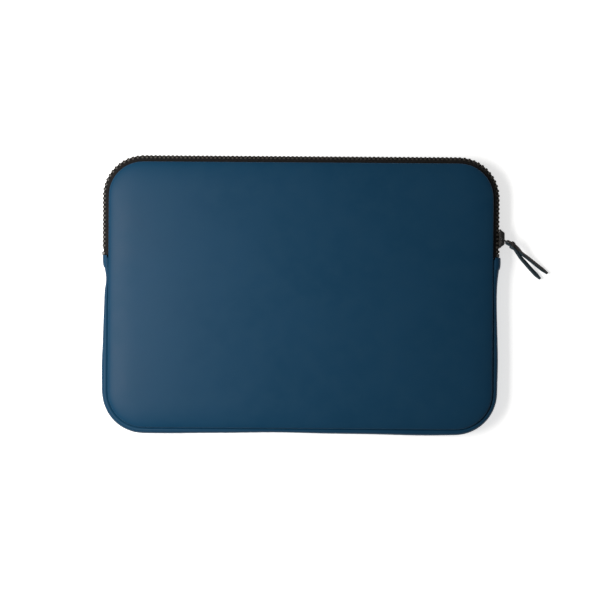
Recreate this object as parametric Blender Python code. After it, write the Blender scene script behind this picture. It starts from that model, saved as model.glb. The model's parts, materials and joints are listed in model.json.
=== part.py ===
"""A padded laptop sleeve with a zip round its upper half, closed and lying on its back panel.

Both panels are a coated cover over a foam pad and a lining. A gusset joins them: a zip above the fold
line, a folded strip below it. The front panel is cut across at the fold line, where it bends open.
The origin is on the back panel's flat outer face, +X to the sleeve's right, +Y to the zip, +Z up.
"""

import math

import bmesh
import bpy
from mathutils import Vector

MM = 0.001

# Panels
PANEL_WIDTH = 337.6 * MM
PANEL_HEIGHT = 233.6 * MM
TOP_CORNER = 30.0 * MM
BOTTOM_CORNER = 32.0 * MM
THICKNESS = 22.0 * MM
MIDDLE_Z = THICKNESS / 2
CROWN = 3.5 * MM
EDGE_ROLL = 9.0 * MM
FOLD_Y = 34.0 * MM
GAP = 0.3 * MM

# Layers, from the outside in. The foam's edge stops where the roll has turned by FOAM_TURN degrees.
COVER = 1.0 * MM
FOAM = 2.2 * MM
LINING = 0.7 * MM
FOAM_INSET = 1.6 * MM
FOAM_TURN = 70
LINING_INSET = 2.9 * MM

# Gusset, seams and zip tapes
WEB = 0.8 * MM
SEAM_LIFT = 6.8 * MM
SEAM_ALLOWANCE = 2.5 * MM
BULGE = 5.0 * MM
GUSSET_LINING = 0.6 * MM
GUSSET_LINING_GAP = 0.35 * MM
GUSSET_LINING_TURN = 80
BINDING_INSETS = (0.9 * MM, 3.3 * MM)
BINDING_LIFTS = (4.0 * MM, 6.1 * MM)
TAB_LENGTH = 9.0 * MM
TAB_HALF_WRAP = 55

# Zip chain
CHAIN_OUT = 4.4 * MM
TAPE_EDGE_LIFT = 3.7 * MM
TAPE_BEND_LIFT = 4.2 * MM
TOOTH_PITCH = 3.765 * MM
TOOTH_SHARE = 0.5
TOOTH_LIFTS = (0.8 * MM, 3.4 * MM)
TOOTH_HALF_DEPTH = 1.5 * MM
BEAD_LIFTS = (2.3 * MM, 3.4 * MM)
BEAD_HALF_DEPTH = 0.7 * MM
CHAIN_START = 4.2 * MM
CHAIN_STOP = 5.0 * MM
STOP_START = 0.5 * MM
STOP_HALF_DEPTH = 1.5 * MM

# Slider, its lengths measured from its middle along the zip
SLIDER_Y = 51.3 * MM
WING = 1.1 * MM
WING_HALF_GAP = 1.8 * MM
WING_HALF_LENGTH = 8.2 * MM
WING_NOSE = 2.6 * MM
WING_MOUTH = 5.0 * MM
WING_TAIL = 4.2 * MM
WING_LIP = 1.6 * MM
NECK = (-7.2 * MM, -3.5 * MM)
NECK_HALF_WIDTH = 0.5 * MM
CAP_HEIGHT = 3.3 * MM
CAP_SHEET = 1.0 * MM
CAP_HALF_WIDTH = 1.8 * MM
CAP_FOOT = 7.4 * MM
CAP_SHOULDER = 5.0 * MM
CAP_LEG = 1.5 * MM
CAP_BEND = 0.7 * MM
CHEEK = 0.4 * MM
CHEEK_INSET = 0.3 * MM
BAR_SLOT = 0.85 * MM
LEAF = 0.45 * MM
LEAF_REACH = 4.0 * MM
LEAF_HALF_WIDTH = 1.1 * MM

# Ring and lace
RING_SEAT = 1.0 * MM
RING_WIRE = 0.55 * MM
RING_LENGTH = 6.2 * MM
RING_HALF_WIDTH = 2.8 * MM
RING_CORNER = 0.9 * MM
RING_ANGLE = math.radians(-33.5)
LACE_WIDTH = 3.8 * MM
LACE_THICKNESS = 1.6 * MM
LACE_TIP_WIDTH = 1.4 * MM
LACE_GAP = 0.15 * MM
KNOT_AT = 5.0 * MM
KNOT_SIDE = 0.3 * MM
KNOT_LENGTH = 2.6 * MM
KNOT_WALL = 1.2 * MM
KNOT_BITE = 0.2 * MM

# The tails of the lace from the ring's end: (out, sideways, drop) in mm, and the lean in degrees
UPPER_TAIL = (
    (4.0, 1.6, 0.0, 8),
    (7.0, 1.35, -0.2, 14),
    (11.0, 0.45, -1.2, 22),
    (15.7, -0.75, -2.6, 30),
    (23.0, -1.0, -4.6, 36),
    (31.0, -1.45, -6.4, 38),
    (38.0, -1.9, -7.7, 40),
    (45.2, -2.2, -8.6, 40),
)
LOWER_TAIL = (
    (4.0, -0.9, 0.0, 8),
    (7.5, -1.2, -0.2, 14),
    (12.0, -2.75, -1.2, 24),
    (17.7, -4.5, -3.0, 34),
    (23.0, -5.7, -4.6, 40),
    (29.7, -7.25, -6.6, 43),
    (36.2, -8.6, -8.0, 44),
    (42.5, -9.8, -8.8, 44),
)

# Facets
CORNER_STEPS = 8
ROLL_STEPS = 5
BEND_STEPS = 5
RING_CORNER_STEPS = 4
LACE_TURN_STEPS = 8

HALF_WIDTH = PANEL_WIDTH / 2
HALF_HEIGHT = PANEL_HEIGHT / 2
SEAM_Z = THICKNESS - CROWN
CHAIN_X = HALF_WIDTH + CHAIN_OUT
OUTER_WING_X = CHAIN_X + WING_HALF_GAP + WING
RING_PIVOT = Vector((OUTER_WING_X + RING_SEAT, SLIDER_Y, MIDDLE_Z))
RING_OUT = Vector((math.cos(RING_ANGLE), math.sin(RING_ANGLE), 0))
RING_ACROSS = Vector((-RING_OUT.y, RING_OUT.x, 0))
RING_END = RING_PIVOT + RING_LENGTH * RING_OUT


# Materials


def material(name, colour, roughness, metallic=0.0):
    made = bpy.data.materials.new(name)
    made.use_nodes = True
    shader = made.node_tree.nodes["Principled BSDF"]
    shader.inputs["Base Color"].default_value = (*colour, 1.0)
    shader.inputs["Roughness"].default_value = roughness
    shader.inputs["Metallic"].default_value = metallic
    return made


def all_materials():
    return {
        "coated": material("coated_fabric", (0.012, 0.050, 0.095), 0.55),
        "foam": material("foam", (0.30, 0.30, 0.31), 0.95),
        "lining": material("lining_fabric", (0.030, 0.032, 0.036), 0.9),
        "tape": material("zip_tape", (0.012, 0.012, 0.013), 0.85),
        "teeth": material("zip_teeth", (0.018, 0.016, 0.015), 0.4),
        "metal": material("blackened_metal", (0.020, 0.019, 0.018), 0.35, 0.8),
        "leather": material("lace_leather", (0.012, 0.016, 0.022), 0.6),
    }


# Meshes


def add_mesh(name, mesh, surface):
    """The bmesh as an object of this name, shaded smooth between its sharp edges."""
    bmesh.ops.recalc_face_normals(mesh, faces=mesh.faces)
    data = bpy.data.meshes.new(name)
    mesh.to_mesh(data)
    mesh.free()
    data.materials.append(surface)
    data.shade_smooth()
    data.set_sharp_from_angle(angle=math.radians(40))
    made = bpy.data.objects.new(name, data)
    bpy.context.scene.collection.objects.link(made)
    return made


def bridge(mesh, ring, other):
    """Quads between two rings of vertices of the same length."""
    count = len(ring)
    for i in range(count):
        j = (i + 1) % count
        mesh.faces.new((ring[i], other[i], other[j], ring[j]))


def outline(inset):
    """The panel's outline moved inwards by inset: four arcs, anticlockwise seen from above."""
    points = []
    for quarter, (across, up, corner) in enumerate(
        ((1, 1, TOP_CORNER), (-1, 1, TOP_CORNER), (-1, -1, BOTTOM_CORNER), (1, -1, BOTTOM_CORNER))
    ):
        centre = Vector((across * (HALF_WIDTH - corner), up * (HALF_HEIGHT - corner)))
        for step in range(CORNER_STEPS + 1):
            angle = (quarter + step / CORNER_STEPS) * math.pi / 2
            points.append(centre + (corner - inset) * Vector((math.cos(angle), math.sin(angle))))
    return points


def loft(profile, closed):
    """A bmesh through the outlines at each (inset, z) of the profile: a frame if it is closed, or else a plate."""
    mesh = bmesh.new()
    rings = [[mesh.verts.new((x, y, z)) for x, y in outline(inset)] for inset, z in profile]
    for ring, other in zip(rings, rings[1:]):
        bridge(mesh, ring, other)
    if closed:
        bridge(mesh, rings[-1], rings[0])
    else:
        mesh.faces.new(rings[0])
        mesh.faces.new(rings[-1])
    return mesh


def keep_beyond(mesh, point, direction):
    """Cuts the mesh by the plane through point, keeps what lies along direction, and closes the cut."""
    bmesh.ops.bisect_plane(
        mesh,
        geom=mesh.verts[:] + mesh.edges[:] + mesh.faces[:],
        dist=1e-7,
        plane_co=point,
        plane_no=direction,
        clear_inner=True,
    )
    bmesh.ops.edgeloop_fill(mesh, edges=[edge for edge in mesh.edges if edge.is_boundary])
    return mesh


def above_fold(mesh):
    return keep_beyond(mesh, (0, FOLD_Y + GAP / 2, 0), (0, 1, 0))


def below_fold(mesh):
    return keep_beyond(mesh, (0, FOLD_Y - GAP / 2, 0), (0, -1, 0))


def box(low, high):
    """A bmesh box between two corners."""
    mesh = bmesh.new()
    made = bmesh.ops.create_cube(mesh, size=1.0)
    low, high = Vector(low), Vector(high)
    for vertex in made["verts"]:
        vertex.co = (low + high) / 2 + vertex.co * (high - low)
    return mesh


def prism(corners, low_z, high_z):
    """A bmesh of the polygon of (x, y) corners, drawn up from low_z to high_z."""
    mesh = bmesh.new()
    bottom = [mesh.verts.new((x, y, low_z)) for x, y in corners]
    top = [mesh.verts.new((x, y, high_z)) for x, y in corners]
    bridge(mesh, bottom, top)
    mesh.faces.new(bottom)
    mesh.faces.new(top)
    return mesh


def plate(corners, low_x, high_x):
    """A bmesh of the polygon of (y, z) corners, drawn along X from low_x to high_x."""
    mesh = prism(corners, low_x, high_x)
    for vertex in mesh.verts:
        vertex.co = vertex.co.zxy
    return mesh


# Profiles, as (inset, z) or (inset, lift) points, where a lift is a height above the middle


def roll_point(turn, depth):
    """A point of the panel's rolled edge, depth under its surface, turned from the top (0) to the seam (90)."""
    turn = math.radians(turn)
    inset = EDGE_ROLL * (1 - math.sin(turn))
    z = SEAM_Z + CROWN * math.cos(turn)
    outward = Vector((math.sin(turn) / EDGE_ROLL, math.cos(turn) / CROWN)).normalized()
    return inset + depth * outward.x, z - depth * outward.y


def roll(depth, last_turn=90):
    return [roll_point(last_turn * step / ROLL_STEPS, depth) for step in range(ROLL_STEPS + 1)]


def ellipse(out, lift, first_turn, last_turn, raised=0.0):
    """Points (inset, lift) of an ellipse that bulges outwards by out, from one turn to the other in degrees."""
    points = []
    for step in range(BEND_STEPS + 1):
        turn = math.radians(first_turn + (last_turn - first_turn) * step / BEND_STEPS)
        points.append((-out * math.cos(turn), raised + lift * math.sin(turn)))
    return points


def moved_sideways(line, distance):
    """The line of (inset, lift) points, moved to its left by distance."""
    points = [Vector(point) for point in line]
    moved = []
    for i, point in enumerate(points):
        along = points[min(i + 1, len(points) - 1)] - points[max(i - 1, 0)]
        moved.append(point + distance * Vector((-along.y, along.x)).normalized())
    return [tuple(point) for point in moved]


def ribbon(line, thickness):
    """The closed profile of a web of this thickness along a line."""
    return moved_sideways(line, thickness / 2) + moved_sideways(line, -thickness / 2)[::-1]


def at_front(profile):
    """Lifts become heights, on the front panel's side of the middle."""
    return [(inset, MIDDLE_Z + lift) for inset, lift in profile]


def at_back(profile):
    return [(inset, MIDDLE_Z - lift) for inset, lift in profile]


def facing_back(profile):
    """A profile of the front panel, turned over to be the back panel's."""
    return [(inset, THICKNESS - z) for inset, z in profile]


COVER_PROFILE = roll(0.0) + roll(COVER)[::-1]
FOAM_TOP = COVER + GAP
FOAM_PROFILE = roll(FOAM_TOP, FOAM_TURN) + [(FOAM_INSET, THICKNESS - FOAM_TOP - FOAM)]
LINING_TOP = THICKNESS - FOAM_TOP - FOAM - GAP
LINING_PROFILE = [(LINING_INSET, LINING_TOP), (LINING_INSET, LINING_TOP - LINING)]

GUSSET_LINE = (
    [(SEAM_ALLOWANCE, SEAM_LIFT)] + ellipse(BULGE, SEAM_LIFT, 90, 0) + ellipse(BULGE, SEAM_LIFT, 0, -90)[1:]
    + [(SEAM_ALLOWANCE, -SEAM_LIFT)]
)
GUSSET_LINING_STEP = WEB / 2 + GUSSET_LINING / 2 + GUSSET_LINING_GAP
GUSSET_LINING_LINE = ellipse(
    BULGE - GUSSET_LINING_STEP, SEAM_LIFT - GUSSET_LINING_STEP, GUSSET_LINING_TURN, -GUSSET_LINING_TURN
)
TAB_LINE = moved_sideways(ellipse(BULGE, SEAM_LIFT, TAB_HALF_WRAP, -TAB_HALF_WRAP), -(WEB + GAP))
TAPE_LINE = (
    [(SEAM_ALLOWANCE, SEAM_LIFT)]
    + ellipse(CHAIN_OUT, SEAM_LIFT - TAPE_BEND_LIFT, 90, 0, TAPE_BEND_LIFT)
    + [(-CHAIN_OUT, TAPE_EDGE_LIFT)]
)
BINDING_PROFILE = [
    (BINDING_INSETS[0], BINDING_LIFTS[0]),
    (BINDING_INSETS[1], BINDING_LIFTS[0]),
    (BINDING_INSETS[1], BINDING_LIFTS[1]),
    (BINDING_INSETS[0], BINDING_LIFTS[1]),
]


# Panels, gusset and seams


def add_front_panel(surfaces):
    """The cover, pad and lining, each in two where the panel folds open."""
    layers = (
        ("front_cover", COVER_PROFILE, "coated"),
        ("front_foam_pad", FOAM_PROFILE, "foam"),
        ("front_lining", LINING_PROFILE, "lining"),
    )
    for name, profile, surface in layers:
        add_mesh(name + "_upper", above_fold(loft(profile, False)), surfaces[surface])
        add_mesh(name + "_lower", below_fold(loft(profile, False)), surfaces[surface])


def add_back_panel(surfaces):
    add_mesh("back_cover", loft(facing_back(COVER_PROFILE), False), surfaces["coated"])
    add_mesh("back_foam_pad", loft(facing_back(FOAM_PROFILE), False), surfaces["foam"])
    add_mesh("back_lining", loft(facing_back(LINING_PROFILE), False), surfaces["lining"])


def add_gusset(surfaces):
    """The strip between the panels below the fold, its lining, and the folded tabs over the zip's two ends."""
    strip = loft(at_front(ribbon(GUSSET_LINE, WEB)), True)
    add_mesh("gusset_cover", below_fold(strip), surfaces["coated"])
    lining = loft(at_front(ribbon(GUSSET_LINING_LINE, GUSSET_LINING)), True)
    add_mesh("gusset_lining", below_fold(lining), surfaces["lining"])
    for name, side in (("zip_end_tab_right", 1), ("zip_end_tab_left", -1)):
        tab = below_fold(loft(at_front(ribbon(TAB_LINE, WEB)), True))
        keep_beyond(tab, (0, FOLD_Y - TAB_LENGTH, 0), (0, 1, 0))
        keep_beyond(tab, (0, 0, 0), (side, 0, 0))
        add_mesh(name, tab, surfaces["coated"])


def add_seam_bindings(surfaces):
    """The tape bound over the seam allowances, inside, all round each panel."""
    add_mesh("back_seam_binding", loft(at_back(BINDING_PROFILE), True), surfaces["lining"])
    front = at_front(BINDING_PROFILE)
    add_mesh("front_seam_binding_upper", above_fold(loft(front, True)), surfaces["lining"])
    add_mesh("front_seam_binding_lower", below_fold(loft(front, True)), surfaces["lining"])


# Zip


def chain_length():
    rise = HALF_HEIGHT - TOP_CORNER - FOLD_Y
    quarter = (TOP_CORNER + CHAIN_OUT) * math.pi / 2
    return 2 * (rise + quarter) + 2 * (HALF_WIDTH - TOP_CORNER)


def chain_point(distance):
    """The point of the chain's line this far from the zip's right-hand end, and the outward direction there."""
    rise = HALF_HEIGHT - TOP_CORNER - FOLD_Y
    radius = TOP_CORNER + CHAIN_OUT
    quarter = radius * math.pi / 2
    half = chain_length() / 2
    side = 1 if distance <= half else -1
    distance = half - abs(half - distance)
    if distance <= rise:
        point, angle = Vector((CHAIN_X, FOLD_Y + distance)), 0.0
    elif distance <= rise + quarter:
        angle = (distance - rise) / radius
        centre = Vector((HALF_WIDTH - TOP_CORNER, HALF_HEIGHT - TOP_CORNER))
        point = centre + radius * Vector((math.cos(angle), math.sin(angle)))
    else:
        across = HALF_WIDTH - TOP_CORNER - (distance - rise - quarter)
        point, angle = Vector((across, HALF_HEIGHT + CHAIN_OUT)), math.pi / 2
    return Vector((side * point.x, point.y)), Vector((side * math.cos(angle), math.sin(angle)))


def row_section(mesh, distance, lifts, half_depth, side):
    """Four vertices round a tooth or the bead, at this distance along the chain."""
    point, outward = chain_point(distance)
    corners = ((half_depth, 0), (half_depth, 1), (-half_depth, 1), (-half_depth, 0))
    section = []
    for depth, lift in corners:
        place = point + depth * outward
        section.append(mesh.verts.new((*place, MIDDLE_Z + side * lifts[lift])))
    return section


def add_tooth_row(name, side, shift, surface):
    """A row of pointed teeth on one bead. side is 1 for the front row and -1 for the back row."""
    mesh = bmesh.new()
    last = chain_length() - CHAIN_STOP
    place = CHAIN_START
    sections = [row_section(mesh, place, BEAD_LIFTS, BEAD_HALF_DEPTH, side)]
    place += shift
    while place + TOOTH_PITCH < last:
        sections.append(row_section(mesh, place, BEAD_LIFTS, BEAD_HALF_DEPTH, side))
        crest = place + TOOTH_SHARE * TOOTH_PITCH
        sections.append(row_section(mesh, crest, TOOTH_LIFTS, TOOTH_HALF_DEPTH, side))
        place += TOOTH_PITCH
    sections.append(row_section(mesh, last, BEAD_LIFTS, BEAD_HALF_DEPTH, side))
    for section, other in zip(sections, sections[1:]):
        bridge(mesh, section, other)
    mesh.faces.new(sections[0])
    mesh.faces.new(sections[-1])
    add_mesh(name, mesh, surface)


def add_zip(surfaces):
    """Two tapes, two rows of teeth, a stop on each row at the closed end and one across both at the other."""
    add_mesh("front_zip_tape", above_fold(loft(at_front(ribbon(TAPE_LINE, WEB)), True)), surfaces["tape"])
    add_mesh("back_zip_tape", above_fold(loft(at_back(ribbon(TAPE_LINE, WEB)), True)), surfaces["tape"])
    add_tooth_row("front_zip_teeth", 1, GAP, surfaces["teeth"])
    add_tooth_row("back_zip_teeth", -1, GAP + TOOTH_PITCH / 2, surfaces["teeth"])
    first_y, last_y = FOLD_Y + STOP_START, FOLD_Y + CHAIN_START - 2 * GAP
    low, high = TOOTH_LIFTS
    for name, bottom, top in (("front_top_stop", low, high), ("back_top_stop", -high, -low)):
        stop = box(
            (CHAIN_X - STOP_HALF_DEPTH, first_y, MIDDLE_Z + bottom),
            (CHAIN_X + STOP_HALF_DEPTH, last_y, MIDDLE_Z + top),
        )
        add_mesh(name, stop, surfaces["metal"])
    bottom_stop = box(
        (-CHAIN_X - STOP_HALF_DEPTH, first_y, MIDDLE_Z - high),
        (-CHAIN_X + STOP_HALF_DEPTH, last_y, MIDDLE_Z + high),
    )
    add_mesh("bottom_stop", bottom_stop, surfaces["metal"])


# Slider


def wing(low_x, high_x):
    """A slider plate, wide at its mouth below and narrower above."""
    half = [
        (-WING_HALF_LENGTH, WING_NOSE),
        (WING_LIP - WING_HALF_LENGTH, WING_TAIL),
        (-WING_MOUTH / 2, WING_MOUTH),
        (WING_MOUTH, WING_TAIL),
        (WING_HALF_LENGTH, WING_NOSE),
    ]
    corners = [(SLIDER_Y + y, MIDDLE_Z + z) for y, z in half]
    corners += [(SLIDER_Y + y, MIDDLE_Z - z) for y, z in half[::-1]]
    return plate(corners, low_x, high_x)


def join(base, helper_name, mesh, surface):
    """Adds the mesh to the object base with a Boolean union."""
    helper = add_mesh(helper_name, mesh, surface)
    helper.hide_render = True
    helper.display_type = "WIRE"
    union = base.modifiers.new(helper_name, "BOOLEAN")
    union.operation = "UNION"
    union.object = helper


def strip(points, low, high):
    """A bmesh of an outline of (x, y) points, y from the slider's middle, drawn from low to high about the middle."""
    return prism([(x, SLIDER_Y + y) for x, y in points], MIDDLE_Z + low, MIDDLE_Z + high)


def add_slider(surfaces):
    """The body, two wings joined by a neck between the rows; the cap over its ring; and the lock spring.

    The cap is an arch closed by a cheek on each side, with a slot in the cheek for the ring's bar.
    """
    metal = surfaces["metal"]
    body = add_mesh("slider_body", wing(CHAIN_X + WING_HALF_GAP, OUTER_WING_X), metal)
    join(body, "inner_wing", wing(CHAIN_X - WING_HALF_GAP - WING, CHAIN_X - WING_HALF_GAP), metal)
    neck = box(
        (CHAIN_X - WING_HALF_GAP - WING / 2, SLIDER_Y + NECK[0], MIDDLE_Z - NECK_HALF_WIDTH),
        (CHAIN_X + WING_HALF_GAP + WING / 2, SLIDER_Y + NECK[1], MIDDLE_Z + NECK_HALF_WIDTH),
    )
    join(body, "neck", neck, metal)

    foot_x, top_x = OUTER_WING_X + GAP, OUTER_WING_X + CAP_HEIGHT
    outer = [(foot_x, -CAP_FOOT), (top_x, -CAP_SHOULDER), (top_x, CAP_SHOULDER), (foot_x, CAP_FOOT)]
    inner_foot, inner_shoulder, inner_x = CAP_FOOT - CAP_LEG, CAP_SHOULDER - CAP_BEND, top_x - CAP_SHEET
    inner = [(foot_x, inner_foot), (inner_x, inner_shoulder), (inner_x, -inner_shoulder), (foot_x, -inner_foot)]
    cap = add_mesh("slider_cap", strip(outer + inner, -CAP_HALF_WIDTH, CAP_HALF_WIDTH), metal)

    slot_x = RING_PIVOT.x + BAR_SLOT
    slot = [(foot_x, BAR_SLOT), (slot_x, BAR_SLOT), (slot_x, -BAR_SLOT), (foot_x, -BAR_SLOT)]
    cheek_foot, cheek_x = CAP_FOOT - CHEEK_INSET, top_x - CHEEK_INSET
    cheek = [(foot_x, -cheek_foot), (cheek_x, -CAP_SHOULDER), (cheek_x, CAP_SHOULDER), (foot_x, cheek_foot)]
    for helper_name, low in (("upper_cheek", CAP_HALF_WIDTH - CHEEK), ("lower_cheek", -CAP_HALF_WIDTH)):
        join(cap, helper_name, strip(cheek + slot, low, low + CHEEK), metal)

    leaf_x = inner_x - GAP
    spring = [(leaf_x, LEAF_REACH), (leaf_x, -LEAF_REACH), (foot_x, -LEAF_REACH), (foot_x, LEAF - LEAF_REACH)]
    spring += [(leaf_x - LEAF, LEAF - LEAF_REACH), (leaf_x - LEAF, LEAF_REACH)]
    add_mesh("slider_lock_spring", strip(spring, -LEAF_HALF_WIDTH, LEAF_HALF_WIDTH), metal)


# Ring and lace


def ring_place(out, side, up):
    """The place this far out from the ring's end, sideways and up."""
    return RING_END + out * RING_OUT + side * RING_ACROSS + Vector((0, 0, up))


def add_ring(surfaces):
    """A wire loop through the slider's cap, with rounded corners. The lace hangs on its far side."""
    points = []
    for quarter, (far, up) in enumerate(((1, 1), (0, 1), (0, -1), (1, -1))):
        out = -RING_CORNER if far else RING_CORNER - RING_LENGTH
        for step in range(RING_CORNER_STEPS + 1):
            angle = (quarter + step / RING_CORNER_STEPS) * math.pi / 2
            lift = up * (RING_HALF_WIDTH - RING_CORNER) + RING_CORNER * math.sin(angle)
            points.append(ring_place(out + RING_CORNER * math.cos(angle), 0, lift))
    data = bpy.data.curves.new("pull_ring", "CURVE")
    data.dimensions = "3D"
    data.bevel_depth = RING_WIRE
    data.bevel_resolution = 2
    spline = data.splines.new("POLY")
    spline.points.add(len(points) - 1)
    for place, point in zip(spline.points, points):
        place.co = (*point, 1.0)
    spline.use_cyclic_u = True
    data.materials.append(surfaces["metal"])
    bpy.context.scene.collection.objects.link(bpy.data.objects.new("pull_ring", data))


def lace_route():
    """The lace's middle from tip to tip round the ring: (place, lean, width) at each point."""
    radius = RING_WIRE + LACE_GAP + LACE_THICKNESS / 2
    turn = []
    for step in range(LACE_TURN_STEPS + 1):
        angle = math.pi * (0.5 + step / LACE_TURN_STEPS)
        turn.append((ring_place(radius * math.cos(angle), radius * math.sin(angle), 0), 0, LACE_WIDTH))
    tails = []
    for tail, side in ((UPPER_TAIL, 1), (LOWER_TAIL, -1)):
        widths = [LACE_WIDTH] * (len(tail) - 1) + [LACE_TIP_WIDTH]
        points = [ring_place(MM * out, MM * across, MM * drop) for out, across, drop, lean in tail]
        tails.append([(point, side * row[3], width) for point, row, width in zip(points, tail, widths)])
    return tails[0][::-1] + turn + tails[1]


def knot():
    """The lark's head's crossing: the lace's doubled end where it lies over both tails."""
    inner_side = RING_WIRE + LACE_GAP + LACE_THICKNESS - KNOT_BITE
    inner_lift = LACE_WIDTH / 2 - KNOT_BITE
    mesh = bmesh.new()
    rings = []
    for grow, end in ((0, -1), (KNOT_WALL, -1), (KNOT_WALL, 1), (0, 1)):
        out = KNOT_AT + end * KNOT_LENGTH / 2
        corners = ((1, 1), (-1, 1), (-1, -1), (1, -1))
        ring = []
        for side, up in corners:
            place = ring_place(out, KNOT_SIDE + side * (inner_side + grow), up * (inner_lift + grow))
            ring.append(mesh.verts.new(place))
        rings.append(ring)
    for ring, other in zip(rings, rings[1:] + rings[:1]):
        bridge(mesh, ring, other)
    return mesh


def add_lace(surfaces):
    """A flat lace hitched round the ring, its two tails spreading and sinking to the surface."""
    route = lace_route()
    mesh = bmesh.new()
    sections = []
    for i, (point, lean, width) in enumerate(route):
        ahead = route[min(i + 1, len(route) - 1)][0] - route[max(i - 1, 0)][0]
        ahead = Vector((ahead.x, ahead.y, 0)).normalized()
        sideways = Vector((-ahead.y, ahead.x, 0))
        lean = math.radians(lean)
        wide = math.cos(lean) * Vector((0, 0, 1)) + math.sin(lean) * sideways
        flat = wide.cross(ahead)
        section = []
        for up, out in ((1, 1), (1, -1), (-1, -1), (-1, 1)):
            corner = point + up * width / 2 * wide + out * LACE_THICKNESS / 2 * flat
            section.append(mesh.verts.new(corner))
        sections.append(section)
    for section, other in zip(sections, sections[1:]):
        bridge(mesh, section, other)
    mesh.faces.new(sections[0])
    mesh.faces.new(sections[-1])
    lace = add_mesh("pull_lace", mesh, surfaces["leather"])
    join(lace, "lace_knot", knot(), surfaces["leather"])


def main():
    for old in list(bpy.data.objects):
        bpy.data.objects.remove(old)
    surfaces = all_materials()
    add_back_panel(surfaces)
    add_front_panel(surfaces)
    add_gusset(surfaces)
    add_seam_bindings(surfaces)
    add_zip(surfaces)
    add_slider(surfaces)
    add_ring(surfaces)
    add_lace(surfaces)


main()
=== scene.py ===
import json
import math

import bmesh
import bpy
import numpy as np
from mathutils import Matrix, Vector, noise


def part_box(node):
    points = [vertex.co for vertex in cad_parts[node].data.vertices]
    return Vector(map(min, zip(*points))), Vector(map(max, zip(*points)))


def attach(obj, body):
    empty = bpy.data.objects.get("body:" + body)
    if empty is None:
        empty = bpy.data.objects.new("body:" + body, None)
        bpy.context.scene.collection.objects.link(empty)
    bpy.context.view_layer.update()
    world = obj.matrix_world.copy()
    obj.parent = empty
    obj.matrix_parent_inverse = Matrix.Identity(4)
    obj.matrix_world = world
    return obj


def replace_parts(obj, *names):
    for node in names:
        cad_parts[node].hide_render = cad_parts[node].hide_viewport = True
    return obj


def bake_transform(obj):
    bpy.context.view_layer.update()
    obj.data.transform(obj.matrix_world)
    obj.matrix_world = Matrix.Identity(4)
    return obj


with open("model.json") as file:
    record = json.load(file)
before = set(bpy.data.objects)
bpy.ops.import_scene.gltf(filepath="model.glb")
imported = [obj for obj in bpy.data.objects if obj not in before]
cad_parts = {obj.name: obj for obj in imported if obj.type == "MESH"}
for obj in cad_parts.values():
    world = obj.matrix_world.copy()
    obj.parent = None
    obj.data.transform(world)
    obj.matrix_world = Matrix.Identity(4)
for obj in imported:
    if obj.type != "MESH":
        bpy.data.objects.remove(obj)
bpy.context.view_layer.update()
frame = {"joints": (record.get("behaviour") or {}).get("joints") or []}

# Lengths below are in millimetres, and MM turns them into metres.
MM = 0.001
JOINTS = {joint["name"]: joint for joint in frame["joints"]}


def node_box(node):
    low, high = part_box(node)
    return low / MM, high / MM


def joint_place(name):
    return Vector(JOINTS[name]["pos_m"]) / MM


# Sizes read from the frame
HALF_WIDTH, HALF_HEIGHT = node_box("back_cover")[1].xy
THICKNESS = node_box("front_cover_lower")[1].z
MIDDLE_Z = THICKNESS / 2
FOLD_Y = joint_place("flap_open").y
STOP_LOW, STOP_HIGH = node_box("front_top_stop")
CHAIN_OUT = (STOP_LOW.x + STOP_HIGH.x) / 2 - HALF_WIDTH
TAB_LOW, TAB_HIGH = node_box("zip_end_tab_right")
RING_PIVOT = joint_place("ring_swing")
RING_END = joint_place("lace_swing")
SLIDER_Y = RING_PIVOT.y
CAP_TOP_X = node_box("slider_cap")[1].x

# Panels
TOP_CORNER = 30.0
BOTTOM_CORNER = 32.0
CROWN = 3.5
EDGE_ROLL = 23.0
ROLL_POWER = 2.05
ROLL_TURNS = (90, 81, 72, 63, 54, 45, 36, 27, 18, 9)
FLAT_INSETS = (EDGE_ROLL, 27.0)
CORNER_STEPS = 10
TUCK = 1.1
SEAM_Z = THICKNESS - CROWN
COVER = 0.8
FOAM = 2.0
FOAM_DEPTH = 1.4
LINING = 0.6
LINING_DEPTH = 4.0
LINING_EDGE = ((1.9, 5.3), (2.1, 4.9), (2.7, 4.4), (3.8, 4.1))
LINING_INSETS = (6.0, 10.0, 16.0, 23.0)
FOAM_FIRST_TURN = 72
FOAM_EDGE = 0.9
ALLOWANCE = 2.6
GRID_STEP = 6.0
FOLD_STEP = 2.2
BEND_END = FOLD_Y + 18.0

# The covers' cloth: lengths in millimetres, the rest in Blender's own units
CLOTH_FRAMES = 20
CLOTH_LIMIT = 1.0
CLOTH_PRESSURE = 4.0
CLOTH_SEWN = 0.2
CLOTH_MASS = 0.02
CLOTH_STRETCH = 12
CLOTH_SHEAR = 5
CLOTH_BENDING = 2.0
CLOTH_SHRINK = -0.004
CLOTH_LUMP = 0.12
CLOTH_LUMP_SCALE = 22

# Gusset and its end tabs
WEB = 0.8
GUSSET_OUT = 4.5
GROOVE = 1.5
SHOULDER_LIFT = 6.0
GUSSET_SEAM_LIFT = 4.8
GUSSET_LINING = 0.6
GUSSET_LINING_GAP = 0.5
TAB_HALF_HEIGHT = 6.9
TAB_WALL = 0.8

# Zip
TAPE = 0.6
BEAD = 1.3
TAPE_LIFT = 6.0
TOOTH_PITCH = 3.765
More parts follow.
